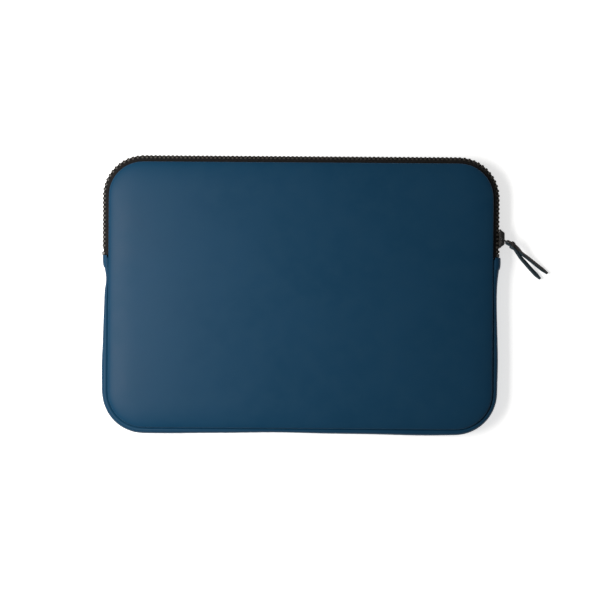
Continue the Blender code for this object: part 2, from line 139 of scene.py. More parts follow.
# One half of a tooth, as (lift from the chain's middle, half width), from its outer end to its head
TOOTH_SHAPE = (
    (4.9, 0.75), (4.5, 1.12), (1.7, 1.12), (0.9, 0.78),
    (0.2, 0.78), (-0.45, 0.98), (-0.95, 0.98), (-1.35, 0.5),
)
TOOTH_HALF_DEPTH = 1.5
TOOTH_INSET = 0.2
TOOTH_SLOPE = 0.3
TOOTH_END_SHARE = 0.86
HEAD_HALF_DEPTH = 1.2
CHAIN_START = 5.5
CHAIN_STOP = 5.0
STOP_OUTLINE = (1.9, 5.4)
STOP_HALF_DEPTH = 1.3
CLOSING_STOP_HALF = 4.0
CLOSING_STOP_HALF_DEPTH = 1.6
PARTING = 1.5

# Slider, ring and lace
WING_GAP = 1.8
WING = 1.1
WING_HALF_LENGTH = 8.2
OUTER_WING = (5.9, 4.7)
INNER_WING = (4.0, 3.5)
RAIL_START = 0.85
PLATE_BITE = 0.3
CAP_HALF_WIDTH = 1.85
CAP_SHEET = 0.9
CHEEK_OUT = 0.1
CHEEK_IN = 0.45
BAR_SLOT = 0.7
SPRING_SHEET = 0.35
SPRING_HALF_WIDTH = 1.05
RING_WIRE = 0.5
RING_HALF_WIDTH = 2.8
LACE_WIDTH = 3.9
LACE_THICKNESS = 1.55
TAIL_THICKNESS = 2.2
LACE_GAP = 0.15


# Mesh helpers


def finish_mesh(name, mesh, surface, sharp=40):
    """The bmesh, in millimetres, as an object of this name, smooth between its sharp edges."""
    data = bpy.data.meshes.new(name)
    for vertex in mesh.verts:
        vertex.co = vertex.co * MM
    mesh.to_mesh(data)
    mesh.free()
    data.materials.append(surface)
    data.shade_smooth()
    if sharp:
        data.set_sharp_from_angle(angle=math.radians(sharp))
    made = bpy.data.objects.new(name, data)
    bpy.context.scene.collection.objects.link(made)
    return made


def subdivide(piece, levels=1):
    modifier = piece.modifiers.new("smooth", "SUBSURF")
    modifier.levels = modifier.render_levels = levels
    modifier.uv_smooth = "PRESERVE_BOUNDARIES"
    return modifier


def thicken(piece, thickness, offset=-1.0):
    modifier = piece.modifiers.new("thickness", "SOLIDIFY")
    modifier.thickness = thickness * MM
    modifier.offset = offset
    return modifier


def soften(piece, width, segments=2, angle=30):
    modifier = piece.modifiers.new("rounded_edges", "BEVEL")
    modifier.width = width * MM
    modifier.segments = segments
    modifier.limit_method = "ANGLE"
    modifier.angle_limit = math.radians(angle)
    modifier.harden_normals = True
    return modifier


def lengths(points, closed=False):
    """The distance along a line of points to each of them, and back to the first where it is closed."""
    total, result = 0.0, [0.0]
    pairs = list(zip(points, points[1:] + points[:1] if closed else points[1:]))
    for point, other in pairs:
        total += (Vector(other) - Vector(point)).length
        result.append(total)
    return result


def skin(mesh, rings, loop=False, caps=True, along=None):
    """Adds a skin through closed rings of points, with UVs in metres along it and around it."""
    layer = mesh.loops.layers.uv.verify()
    made = [[mesh.verts.new(point) for point in ring] for ring in rings]
    centres = [sum((Vector(point) for point in ring), Vector()) / len(ring) for ring in rings]
    along = along or lengths(centres, loop)
    around = lengths([Vector(point) for point in rings[0]], True)
    count = len(rings[0])
    for k in range(len(rings) if loop else len(rings) - 1):
        ring, other = made[k], made[(k + 1) % len(rings)]
        for i in range(count):
            j = (i + 1) % count
            face = mesh.faces.new((ring[i], ring[j], other[j], other[i]))
            places = ((k, i), (k, i + 1), (k + 1, i + 1), (k + 1, i))
            for corner, (step, turn) in zip(face.loops, places):
                corner[layer].uv = (along[step] * MM, around[turn] * MM)
    if caps and not loop:
        mesh.faces.new(made[0])
        mesh.faces.new(made[-1][::-1])
    return made


def outward(mesh):
    bmesh.ops.recalc_face_normals(mesh, faces=mesh.faces)
    return mesh


def tube(name, rings, surface, sharp=40, **choices):
    mesh = bmesh.new()
    skin(mesh, rings, **choices)
    return finish_mesh(name, outward(mesh), surface, sharp)


def moved_sideways(line, distances):
    """The line of (inset, z) points, each moved to its left by its distance."""
    moved = []
    for i, point in enumerate(line):
        ahead = Vector(line[min(i + 1, len(line) - 1)]) - Vector(line[max(i - 1, 0)])
        ahead.normalize()
        moved.append(Vector(point) + distances[i] * Vector((-ahead.y, ahead.x)))
    return moved


def ribbon(line, thickness):
    """The closed profile of a web along a line. thickness is one number or one for each point."""
    halves = [each / 2 for each in (thickness if hasattr(thickness, "__len__") else [thickness] * len(line))]
    return moved_sideways(line, halves) + moved_sideways(line, [-half for half in halves])[::-1]


def rounded(corners, radius, steps=4):
    """The polygon with each corner replaced by a curve that starts radius before it."""
    points = []
    for i, corner in enumerate(corners):
        corner = Vector(corner)
        before, after = Vector(corners[i - 1]) - corner, Vector(corners[(i + 1) % len(corners)]) - corner
        start = corner + before.normalized() * min(radius, before.length * 0.45)
        end = corner + after.normalized() * min(radius, after.length * 0.45)
        for step in range(steps + 1):
            t = step / steps
            points.append((1 - t) ** 2 * start + 2 * t * (1 - t) * corner + t * t * end)
    return points


def smoothstep(low, high, value):
    t = min(max((value - low) / (high - low), 0.0), 1.0)
    return t * t * (3 - 2 * t)


# The panels' outline. A place on it is s, the distance from the middle of the lower edge, positive to the
# right.

LOWER_STRAIGHT = HALF_WIDTH - BOTTOM_CORNER
LOWER_ARC = BOTTOM_CORNER * math.pi / 2
SIDE_STRAIGHT = 2 * HALF_HEIGHT - BOTTOM_CORNER - TOP_CORNER
UPPER_ARC = TOP_CORNER * math.pi / 2
FOLD_S = LOWER_STRAIGHT + LOWER_ARC + FOLD_Y + HALF_HEIGHT - BOTTOM_CORNER
HALF_RIM = LOWER_STRAIGHT + LOWER_ARC + SIDE_STRAIGHT + UPPER_ARC + HALF_WIDTH - TOP_CORNER


def rim(s):
    """The outline's point at s and the outward direction there."""
    if s > HALF_RIM:
        s -= 2 * HALF_RIM
    side, s = (1, s) if s >= 0 else (-1, -s)
    if s <= LOWER_STRAIGHT:
        point, way = Vector((s, -HALF_HEIGHT)), Vector((0, -1))
    elif s <= LOWER_STRAIGHT + LOWER_ARC:
        angle = (s - LOWER_STRAIGHT) / BOTTOM_CORNER - math.pi / 2
        way = Vector((math.cos(angle), math.sin(angle)))
        point = Vector((LOWER_STRAIGHT, BOTTOM_CORNER - HALF_HEIGHT)) + BOTTOM_CORNER * way
    elif s <= LOWER_STRAIGHT + LOWER_ARC + SIDE_STRAIGHT:
        up = s - LOWER_STRAIGHT - LOWER_ARC
        point, way = Vector((HALF_WIDTH, BOTTOM_CORNER - HALF_HEIGHT + up)), Vector((1, 0))
    elif s <= LOWER_STRAIGHT + LOWER_ARC + SIDE_STRAIGHT + UPPER_ARC:
        angle = (s - LOWER_STRAIGHT - LOWER_ARC - SIDE_STRAIGHT) / TOP_CORNER
        way = Vector((math.cos(angle), math.sin(angle)))
        point = Vector((HALF_WIDTH - TOP_CORNER, HALF_HEIGHT - TOP_CORNER)) + TOP_CORNER * way
    else:
        point, way = Vector((HALF_RIM - s, HALF_HEIGHT)), Vector((0, 1))
    return Vector((side * point.x, point.y)), Vector((side * way.x, way.y))


def rim_place(s, inset, z):
    point, way = rim(s)
    return Vector((*(point - inset * way), z))


def steps_between(first, last, step):
    count = max(1, round((last - first) / step))
    return [first + (last - first) * i / count for i in range(count + 1)]


# Materials


class Finish:
    """A Principled material, with short ways to add nodes to it."""

    def __init__(self, name, colour, roughness, **values):
        self.material = bpy.data.materials.new(name)
        self.material.use_nodes = True
        self.tree = self.material.node_tree
        self.shader = self.tree.nodes["Principled BSDF"]
        self.set("Base Color", (*colour, 1.0))
        self.set("Roughness", roughness)
        for socket, value in values.items():
            self.set(socket.replace("_", " "), value)

    def set(self, socket, value):
        if isinstance(value, bpy.types.NodeSocket):
            self.tree.links.new(value, self.shader.inputs[socket])
        else:
            self.shader.inputs[socket].default_value = value

    def node(self, kind, *inputs, **settings):
        """A node, its inputs by number, each a value, a link or None, and its first output."""
        made = self.tree.nodes.new("ShaderNode" + kind)
        for key, value in settings.items():
            setattr(made, key, value)
        for socket, value in zip(made.inputs, inputs):
            if isinstance(value, bpy.types.NodeSocket):
                self.tree.links.new(value, socket)
            elif value is not None:
                socket.default_value = value
        return made.outputs[0]

    def math(self, operation, *inputs):
        return self.node("Math", *inputs, operation=operation)

    def coordinates(self, kind="UV"):
        return self.tree.nodes.new("ShaderNodeTexCoord").outputs[kind]

    def parts(self, place):
        """The sockets of a place's x, y and z."""
        made = self.tree.nodes.new("ShaderNodeSeparateXYZ")
        self.tree.links.new(place, made.inputs[0])
        return made.outputs

    def wave(self, distance, pitch):
        """A sine with this pitch, in millimetres, along a distance."""
        return self.math("SINE", self.math("MULTIPLY", distance, 2 * math.pi / (pitch * MM)))

    def noise(self, place, size, detail=3.0, roughness=0.5):
        """Noise whose lumps are about this size, in millimetres."""
        made = self.tree.nodes.new("ShaderNodeTexNoise")
        self.tree.links.new(place, made.inputs["Vector"])
        made.inputs["Scale"].default_value = 1 / (size * MM)
        made.inputs["Detail"].default_value = detail
        made.inputs["Roughness"].default_value = roughness
        return made.outputs[0]

    def cells(self, place, size, feature="F1"):
        made = self.tree.nodes.new("ShaderNodeTexVoronoi")
        made.feature = feature
        self.tree.links.new(place, made.inputs["Vector"])
        made.inputs["Scale"].default_value = 1 / (size * MM)
        return made.outputs[0]

    def ramp(self, value, low, high, first=0.0, last=1.0):
        made = self.tree.nodes.new("ShaderNodeMapRange")
        self.tree.links.new(value, made.inputs[0])
        for socket, number in zip(made.inputs[1:5], (low, high, first, last)):
            socket.default_value = number
        return made.outputs[0]

    def blend_colours(self, share, colour, other):
        made = self.tree.nodes.new("ShaderNodeMix")
        made.data_type = "RGBA"
        self.tree.links.new(share, made.inputs[0])
        for socket, value in ((made.inputs[6], colour), (made.inputs[7], other)):
            if isinstance(value, bpy.types.NodeSocket):
                self.tree.links.new(value, socket)
            else:
                socket.default_value = (*value, 1.0)
        return made.outputs[2]

    def bump(self, height, depth, strength=1.0, below=None):
        """Bump of this depth in millimetres, on top of another bump where one is given."""
        made = self.tree.nodes.new("ShaderNodeBump")
        made.inputs["Strength"].default_value = strength
        made.inputs["Distance"].default_value = depth * MM
        self.tree.links.new(height, made.inputs["Height"])
        if below:
            self.tree.links.new(below, made.inputs["Normal"])
        return made.outputs[0]

    def done(self, normal=None):
        if normal:
            self.set("Normal", normal)
        return self.material


def coated_fabric():
    """Matt navy coating with a fine grain and faint cloudy smudges."""
    finish = Finish("coated_fabric", (0.006, 0.038, 0.08), 0.42, Specular_IOR_Level=0.09)
    place = finish.coordinates()
    cloud = finish.ramp(finish.noise(place, 60, 4, 0.55), 0.35, 0.65)
    smudge = finish.ramp(finish.noise(place, 14, 5, 0.6), 0.42, 0.7)
    colour = finish.blend_colours(cloud, (0.0052, 0.0365, 0.0775), (0.0062, 0.0392, 0.0825))
    finish.set("Base Color", finish.blend_colours(smudge, colour, (0.0068, 0.0397, 0.0812)))
    matt = finish.math("ADD", finish.ramp(cloud, 0, 1, 0.38, 0.43), finish.ramp(smudge, 0, 1, 0.0, 0.05))
    finish.set("Roughness", matt)
    grain = finish.bump(finish.cells(place, 0.55), 0.035, 0.5)
    return finish.done(finish.bump(finish.noise(place, 0.3, 2), 0.02, 0.6, grain))


def knitted_lining():
    """Short dark pile on a fine rib."""
    finish = Finish("knitted_lining", (0.03, 0.032, 0.036), 0.92, Sheen_Weight=0.35, Sheen_Roughness=0.5)
    place = finish.coordinates()
    pile = finish.noise(place, 0.45, 4, 0.7)
    patch = finish.ramp(finish.noise(place, 22, 3), 0.35, 0.65)
    colour = finish.blend_colours(patch, (0.026, 0.028, 0.032), (0.036, 0.038, 0.043))
    finish.set("Base Color", finish.blend_colours(finish.ramp(pile, 0.35, 0.7), (0.016, 0.017, 0.02), colour))
    ribs = finish.bump(finish.wave(finish.parts(place)[0], 1.3), 0.06, 0.5)
    return finish.done(finish.bump(pile, 0.25, 0.8, ribs))


def foam_sheet():
    finish = Finish("foam_sheet", (0.3, 0.3, 0.31), 0.95)
    place = finish.coordinates()
    cell = finish.cells(place, 0.9)
    share = finish.ramp(cell, 0, 0.8)
    finish.set("Base Color", finish.blend_colours(share, (0.2, 0.2, 0.21), (0.36, 0.36, 0.37)))
    return finish.done(finish.bump(cell, 0.2, 0.8))


def herringbone_tape():
    """Woven tape whose ribs turn back every few threads."""
    finish = Finish("zip_tape", (0.008, 0.007, 0.007), 0.85, Specular_IOR_Level=0.15)
    place = finish.coordinates()
    along, across = finish.parts(place)[:2]
    rib = finish.wave(finish.math("ADD", along, finish.math("PINGPONG", across, 1.1 * MM)), 0.8)
    fibre = finish.noise(place, 0.2, 2)
    shade = finish.blend_colours(finish.ramp(rib, -1, 1), (0.0045, 0.004, 0.004), (0.012, 0.011, 0.011))
    finish.set("Base Color", shade)
    return finish.done(finish.bump(fibre, 0.04, 0.5, finish.bump(rib, 0.09, 0.8)))


def ribbed_binding():
    """Grosgrain: fine ribs across the band."""
    finish = Finish("ribbed_binding", (0.02, 0.021, 0.024), 0.8, Sheen_Weight=0.15)
    place = finish.coordinates()
    rib = finish.wave(finish.parts(place)[0], 0.7)
    shade = finish.blend_colours(finish.ramp(rib, -1, 1), (0.012, 0.013, 0.015), (0.028, 0.029, 0.033))
    finish.set("Base Color", shade)
    return finish.done(finish.bump(rib, 0.1, 0.8))


def moulded_plastic():
    """Satin black moulding with a faint flow pattern, a little browner where it is rubbed."""
    finish = Finish("moulded_plastic", (0.022, 0.0175, 0.0135), 0.45, Specular_IOR_Level=0.42)
    place = finish.coordinates("Object")
    flow = finish.noise(place, 2.2, 4, 0.6)
    finish.set("Base Color", finish.blend_colours(flow, (0.0155, 0.0125, 0.0096), (0.028, 0.0222, 0.0168)))
    finish.set("Roughness", finish.ramp(flow, 0.3, 0.7, 0.4, 0.52))
    return finish.done(finish.bump(finish.noise(place, 0.25, 2), 0.015, 0.5))


def enamelled_metal(name, colour, worn):
    """Black enamel that has worn through to grey metal along its edges."""
    finish = Finish(name, colour, 0.34, Coat_Weight=0.25, Coat_Roughness=0.2)
    place = finish.coordinates("Object")
    geometry = finish.tree.nodes.new("ShaderNodeNewGeometry")
    scratch = finish.noise(place, 0.7, 5, 0.7)
    edge = finish.ramp(geometry.outputs["Pointiness"], 0.53, 0.6)
    wear = finish.math("MULTIPLY", edge, finish.ramp(scratch, 0.45, 0.6))
    finish.set("Base Color", finish.blend_colours(wear, colour, worn))
    finish.set("Metallic", finish.math("MULTIPLY", wear, 0.9))
    finish.set("Roughness", finish.ramp(scratch, 0.3, 0.7, 0.28, 0.42))
    return finish.done(finish.bump(finish.noise(place, 0.4, 3), 0.012, 0.5))


def lace_leather(name, colour, other, roughness):
    """Coated leather, its grain in small cells with finer pores."""
    finish = Finish(name, colour, roughness, Specular_IOR_Level=0.5)
    place = finish.coordinates()
    patch = finish.ramp(finish.noise(place, 3.5, 4, 0.6), 0.35, 0.65)
    finish.set("Base Color", finish.blend_colours(patch, colour, other))
    grain = finish.bump(finish.cells(place, 0.5, "DISTANCE_TO_EDGE"), 0.05, 0.6)
    return finish.done(finish.bump(finish.noise(place, 0.22, 2), 0.03, 0.6, grain))


def sewing_thread():
    """Twisted thread."""
    finish = Finish("sewing_thread", (0.012, 0.03, 0.055), 0.6, Sheen_Weight=0.2)
    place = finish.coordinates()
    along, across = finish.parts(place)[:2]
    twist = finish.wave(finish.math("ADD", along, across), 0.35)
    shade = finish.blend_colours(finish.ramp(twist, -1, 1), (0.007, 0.018, 0.034), (0.016, 0.038, 0.068))
    finish.set("Base Color", shade)
    return finish.done(finish.bump(twist, 0.06, 0.8))


COATED = coated_fabric()
LINING_CLOTH = knitted_lining()
FOAM_CLOTH = foam_sheet()
TAPE_CLOTH = herringbone_tape()
BINDING_CLOTH = ribbed_binding()
PLASTIC = moulded_plastic()
METAL = enamelled_metal("black_enamel", (0.02, 0.019, 0.018), (0.22, 0.21, 0.2))
RING_METAL = enamelled_metal("ring_enamel", (0.06, 0.06, 0.062), (0.4, 0.39, 0.38))
LACE_FACE = lace_leather("lace_face", (0.010, 0.026, 0.036), (0.016, 0.036, 0.048), 0.5)
LACE_EDGE = lace_leather("lace_edge", (0.008, 0.006, 0.005), (0.019, 0.014, 0.0105), 0.65)
THREAD = sewing_thread()


# Panels


def roll_point(turn, depth):
    """A point of the rolled edge, depth under the surface, turned from the flat top (0) to the side (90)."""
    turn = math.radians(turn)
    power = 2 / ROLL_POWER
    across, up = math.sin(turn) ** power, math.cos(turn) ** power
    slope = Vector((across ** (ROLL_POWER - 1) / EDGE_ROLL, up ** (ROLL_POWER - 1) / CROWN)).normalized()
    return EDGE_ROLL * (1 - across) + depth * slope.x, SEAM_Z + CROWN * up - depth * slope.y


def cover_profile():
    """The cover's outer surface: the seam allowance, the tuck at the seam, the rolled edge and the flat."""
    tuck = []
    for turn in (0, 30, 60):
        angle = math.radians(turn)
        tuck.append((TUCK * (1 - math.sin(angle)), SEAM_Z - TUCK * math.cos(angle)))
    roll = [roll_point(turn, 0.0) for turn in ROLL_TURNS]
    return [(ALLOWANCE, SEAM_Z - TUCK)] + tuck + roll + [(inset, THICKNESS) for inset in FLAT_INSETS]


def foam_profile():
    """The foam's outer surface, FOAM_DEPTH under the cover's, from near the panel's edge to the flat."""
    turns = [turn for turn in ROLL_TURNS if turn <= FOAM_FIRST_TURN]
    roll = [roll_point(turn, FOAM_DEPTH) for turn in turns if roll_point(turn, FOAM_DEPTH)[0] > FOAM_EDGE]
    return roll + [(inset, THICKNESS - FOAM_DEPTH) for inset in FLAT_INSETS]


def lining_profile():
    """The lining's outer surface, its edge turned down behind the binding."""
    edge = [(inset, THICKNESS - depth) for inset, depth in LINING_EDGE]
    return edge + [(inset, THICKNESS - LINING_DEPTH) for inset in LINING_INSETS]


def panel_rows():
    """The heights of the panel's rows of faces, closer together where it folds."""
    low, high = BOTTOM_CORNER - HALF_HEIGHT, HALF_HEIGHT - TOP_CORNER
    below, above = FOLD_Y - 6.0, BEND_END + 4.0
    rows = steps_between(low, below, GRID_STEP)
    rows += steps_between(below, above, FOLD_STEP)[1:]
    return rows + steps_between(above, high, GRID_STEP)[1:]


def panel_mesh(profile, back=False):
    """A sheet over the whole panel: rings along its edge at each (inset, z), and a grid inside them."""
    rows = panel_rows()
    columns = round(2 * LOWER_STRAIGHT / GRID_STEP)
    low, high = rows[0], rows[-1]
    height = profile[-1][1]
    mesh = bmesh.new()

    def vertex(x, y, z):
        return mesh.verts.new((x, y, THICKNESS - z if back else z))

    grid = []
    for y in rows:
        half = LOWER_STRAIGHT + (HALF_WIDTH - TOP_CORNER - LOWER_STRAIGHT) * (y - low) / (high - low)
        grid.append([vertex(half * (2 * i / columns - 1), y, height) for i in range(columns + 1)])

    spokes = []
    for i in range(columns + 1):
        x = LOWER_STRAIGHT * (2 * i / columns - 1)
        spokes.append((Vector((x, -HALF_HEIGHT)), (0, -1), grid[0][i]))
    spokes += corner_spokes(LOWER_STRAIGHT, low, BOTTOM_CORNER, -90, grid[0][-1])
    spokes += [(Vector((HALF_WIDTH, y)), (1, 0), row[-1]) for y, row in zip(rows, grid)]
    spokes += corner_spokes(HALF_WIDTH - TOP_CORNER, high, TOP_CORNER, 0, grid[-1][-1])
    for i in range(columns, -1, -1):
        x = (HALF_WIDTH - TOP_CORNER) * (2 * i / columns - 1)
        spokes.append((Vector((x, HALF_HEIGHT)), (0, 1), grid[-1][i]))
    spokes += corner_spokes(TOP_CORNER - HALF_WIDTH, high, TOP_CORNER, 90, grid[-1][0])
    spokes += [(Vector((-HALF_WIDTH, y)), (-1, 0), row[0]) for y, row in zip(rows[::-1], grid[::-1])]
    spokes += corner_spokes(-LOWER_STRAIGHT, low, BOTTOM_CORNER, 180, grid[0][0])

    rings = []
    for inset, z in profile:
        rings.append([vertex(*(point - inset * Vector(way)), z) for point, way, hub in spokes])
    rings.append([hub for point, way, hub in spokes])
    for ring, inner in zip(rings, rings[1:]):
        for i, corner in enumerate(ring):
            after = (i + 1) % len(ring)
            corners = [corner, ring[after], inner[after], inner[i]]
            add_face(mesh, corners if inner[after] is not inner[i] else corners[:3], back)
    for row, above in zip(grid, grid[1:]):
        for i in range(columns):
            add_face(mesh, [row[i], row[i + 1], above[i + 1], above[i]], back)
    layer = mesh.loops.layers.uv.verify()
    for face in mesh.faces:
        for corner in face.loops:
            corner[layer].uv = corner.vert.co.xy * MM
    return mesh


def corner_spokes(x, y, radius, first_angle, hub):
    """The spokes of a corner's arc, between the two straight sides' own last spokes."""
    spokes = []
    for step in range(1, CORNER_STEPS):
        angle = math.radians(first_angle + 90 * step / CORNER_STEPS)
        way = Vector((math.cos(angle), math.sin(angle)))
        spokes.append((Vector((x, y)) + radius * way, way, hub))
    return spokes


def add_face(mesh, corners, turned):
    mesh.faces.new(corners[::-1] if turned else corners)


def pad_out(sheet, seed):
    """The places of a cover's points once cloth simulation has filled it out.

    The cover stays sewn down below its seam. The whole movement is scaled down where a point would pass
    CLOTH_LIMIT.
    """
    rest = np.array([vertex.co for vertex in sheet.data.vertices])
    middle = THICKNESS * MM / 2
    held = SEAM_Z + CLOTH_SEWN - MIDDLE_Z
    sewn = {i for i, place in enumerate(rest) if abs(place[2] - middle) < held * MM}
    group = sheet.vertex_groups.new(name="seam")
    group.add(list(sewn), 1.0, "REPLACE")
    modifier = sheet.modifiers.new("cloth", "CLOTH")
    settings = modifier.settings
    settings.quality = 6
    settings.mass = CLOTH_MASS
    settings.vertex_group_mass = "seam"
    settings.tension_stiffness = settings.compression_stiffness = CLOTH_STRETCH
    settings.shear_stiffness = CLOTH_SHEAR
    settings.bending_stiffness = CLOTH_BENDING
    settings.shrink_min = CLOTH_SHRINK
    settings.use_pressure = True
    settings.uniform_pressure_force = CLOTH_PRESSURE
    settings.effector_weights.gravity = 0
    for vertex in sheet.data.vertices:
        lump = noise.noise(vertex.co * CLOTH_LUMP_SCALE + Vector((seed, 0, 0))) * CLOTH_LUMP * MM
        if vertex.index not in sewn:
            vertex.co.z += lump
    for number in range(1, CLOTH_FRAMES + 1):
        bpy.context.scene.frame_set(number)
    evaluated = sheet.evaluated_get(bpy.context.evaluated_depsgraph_get())
    moved = np.array([vertex.co for vertex in evaluated.data.vertices])
    shift = moved - rest
    furthest = float(np.linalg.norm(shift, axis=1, keepdims=True).max())
    shift *= min(1.0, CLOTH_LIMIT * MM / furthest)
    sheet.modifiers.remove(modifier)
    bpy.context.scene.frame_set(1)
    return rest + shift


def add_cover(name, back, seed):
    cover = finish_mesh(name, panel_mesh(cover_profile(), back), COATED, sharp=None)
    places = pad_out(cover, seed)
    if back:
        places[:, 2] = np.maximum(places[:, 2], 0.0)
    cover.data.vertices.foreach_set("co", places.astype(np.float32).ravel())
    cover.data.update()
    thicken(cover, COVER)
    subdivide(cover)
    return cover


def add_sheet(name, profile, thickness, back, surface):
    sheet = finish_mesh(name, panel_mesh(profile, back), surface, sharp=None)
    thicken(sheet, thickness)
    subdivide(sheet)
    return sheet


def bends(piece):
    """Bakes the piece's placement into its mesh."""
    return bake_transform(piece)


def add_front_panel():
    cover = bends(add_cover("front_cover", False, 0.0))
    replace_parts(cover, "front_cover_lower", "front_cover_upper")
    foam = bends(add_sheet("front_foam_pad", foam_profile(), FOAM, False, FOAM_CLOTH))
    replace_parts(foam, "front_foam_pad_lower", "front_foam_pad_upper")
    lining = bends(add_sheet("front_lining", lining_profile(), LINING, False, LINING_CLOTH))
    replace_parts(lining, "front_lining_lower", "front_lining_upper")


def add_back_panel():
    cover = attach(add_cover("back_cover_padded", True, 5.0), "root")
    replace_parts(cover, "back_cover")
    foam = add_sheet("back_foam_sheet", foam_profile(), FOAM, True, FOAM_CLOTH)
    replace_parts(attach(foam, "root"), "back_foam_pad")
    lining = add_sheet("back_lining_cloth", lining_profile(), LINING, True, LINING_CLOTH)
    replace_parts(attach(lining, "root"), "back_lining")


# Gusset: a soft strip that bulges, with fuller stretches and dents as (x, y, outward, reach). PUCKER is how far
# its sewn edge gathers, at most.

GUSSET_SHAPE = (
    (-HALF_WIDTH, 14.0, -2.3, 9.0),
    (-HALF_WIDTH, -5.0, -0.7, 14.0),
    (-HALF_WIDTH, -66.0, 1.2, 24.0),
    (HALF_WIDTH, 30.0, 1.6, 12.0),
    (HALF_WIDTH, -4.0, -0.8, 22.0),
    (HALF_WIDTH, -58.0, 0.6, 20.0),
    (-118.0, -HALF_HEIGHT, 0.6, 24.0),
    (-20.0, -HALF_HEIGHT, -0.9, 34.0),
    (108.0, -HALF_HEIGHT, 1.0, 36.0),
    (12.0 - HALF_WIDTH, 12.0 - HALF_HEIGHT, 0.9, 20.0),
)
PUCKER = 0.28
PUCKER_DRIFT = 19.0
PUCKER_PITCH = 7.5


def gusset_out(s):
    """How far the gusset bulges at s."""
    point = rim(s)[0]
    out = GUSSET_OUT
    for x, y, amount, reach in GUSSET_SHAPE:
        out += amount * math.exp(-(((point.x - x) ** 2 + (point.y - y) ** 2) / reach**2))
    gather = math.sin(2 * math.pi * s / PUCKER_PITCH) * noise.noise(Vector((s / PUCKER_DRIFT, 3, 0)))
    return out + PUCKER * gather


def gusset_line(s):
    """The gusset's line, as (inset, z) from the front seam to the back one.

    It runs down beside the panel's edge and up to a shoulder, so a groove shows between them. Towards the
    tabs the shoulder closes up to the panel.
    """
    point = rim(s)[0]
    open_share = 1 - smoothstep(-14.0, 16.0, point.y)
    groove = GROOVE * (0.25 + 0.75 * open_share)
    shoulder = SHOULDER_LIFT + 0.6 * (1 - open_share)
    out = gusset_out(s)
    upper = [(ALLOWANCE, GUSSET_SEAM_LIFT), (0.9, GUSSET_SEAM_LIFT), (0.0, GUSSET_SEAM_LIFT)]
    upper += [(-groove * 0.6, shoulder - 0.8), (-groove, shoulder - 0.25)]
    for turn in range(78, -1, -13):
        angle = math.radians(turn)
        reach = out - groove
        upper.append((-groove - reach * math.cos(angle) ** 0.85, shoulder * math.sin(angle) ** 0.85))
    lower = [(inset, -lift) for inset, lift in upper[-2::-1]]
    return [(inset, MIDDLE_Z + lift) for inset, lift in upper + lower]


def add_gusset():
    places = steps_between(-FOLD_S + 0.3, FOLD_S - 0.3, 3.2)
    rings = [[rim_place(s, inset, z) for inset, z in ribbon(gusset_line(s), WEB)] for s in places]
    gusset = tube("gusset_strip", rings, COATED, sharp=None, along=places)
    subdivide(gusset)
    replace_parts(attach(gusset, "root"), "gusset_cover")
    inner = []
    for s in places:
        line = [(inset + WEB / 2 + GUSSET_LINING_GAP, z) for inset, z in gusset_line(s)[7:-7]]
        inner.append([rim_place(s, inset, z) for inset, z in ribbon(line, GUSSET_LINING)])
    lining = tube("gusset_lining_cloth", inner, LINING_CLOTH, sharp=None, along=places)
    subdivide(lining)
    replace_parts(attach(lining, "root"), "gusset_lining")


def tab_line(out):
    """The tab's line round the edge, from the front panel's edge to the back one's."""
    line = []
    for turn in range(84, -85, -12):
        angle = math.radians(turn)
        bow = abs(math.cos(angle)) ** 0.62
        line.append((-out * bow, MIDDLE_Z + TAB_HALF_HEIGHT * math.sin(angle)))
    return line


def add_tabs():
    """The folded tabs over the zip's two ends, squared at the top and narrowing downwards."""
    top, bottom = FOLD_S + 0.4, FOLD_S - (TAB_HIGH.y - TAB_LOW.y) - 1.5
    for name, side, cad in (("tab_right", 1, "zip_end_tab_right"), ("tab_left", -1, "zip_end_tab_left")):
        rings = []
        places = steps_between(bottom, top, 0.9)
        for s in places:
            out = gusset_out(side * s) + 0.85 * smoothstep(bottom - 4, bottom + 4, s) + 0.1
            out -= 0.25 * smoothstep(top - 0.9, top + 0.9, s)
            ring = ribbon(tab_line(out), TAB_WALL)
            rings.append([rim_place(side * s, inset, z) for inset, z in ring])
        tab = tube(name, rings, COATED, along=places)
        soften(tab, 0.25)
        subdivide(tab)
        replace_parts(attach(tab, "root"), cad)


# Seam bindings and their stitches

BINDING_LOW, BINDING_HIGH = 4.0, 5.3
BINDING_INSETS = (0.9, 3.4)
BINDING_WAVE = 0.12
STITCH_PITCH = 3.4
STITCH_LENGTH = 2.5
STITCH_RADIUS = 0.24
STITCH_DIP = 0.28


def binding_ring(s, side):
    corners = [
        (BINDING_INSETS[0], BINDING_LOW), (BINDING_INSETS[1], BINDING_LOW),
        (BINDING_INSETS[1], BINDING_HIGH), (BINDING_INSETS[0], BINDING_HIGH),
    ]
    wave = BINDING_WAVE * noise.noise(Vector((s / 14, side, 0)))
    points = rounded(corners, 0.5, 2)
    return [rim_place(s, inset + wave, MIDDLE_Z + side * (lift + wave)) for inset, lift in points]


def add_bindings():
    places = steps_between(-HALF_RIM, HALF_RIM, 3.6)[:-1]
    for name, side, cad in (
        ("front_binding", 1, ("front_seam_binding_lower", "front_seam_binding_upper")),
        ("back_binding", -1, ("back_seam_binding",)),
    ):
        along = [s + HALF_RIM for s in places] + [2 * HALF_RIM]
        band = tube(name, [binding_ring(s, side) for s in places], BINDING_CLOTH, loop=True, along=along)
        stitches = add_stitches(name + "_stitches", side)
        for piece, slot in ((band, "lining"), (stitches, "cover")):
            bends(piece) if side > 0 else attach(piece, "root")
        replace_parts(band, *cad)


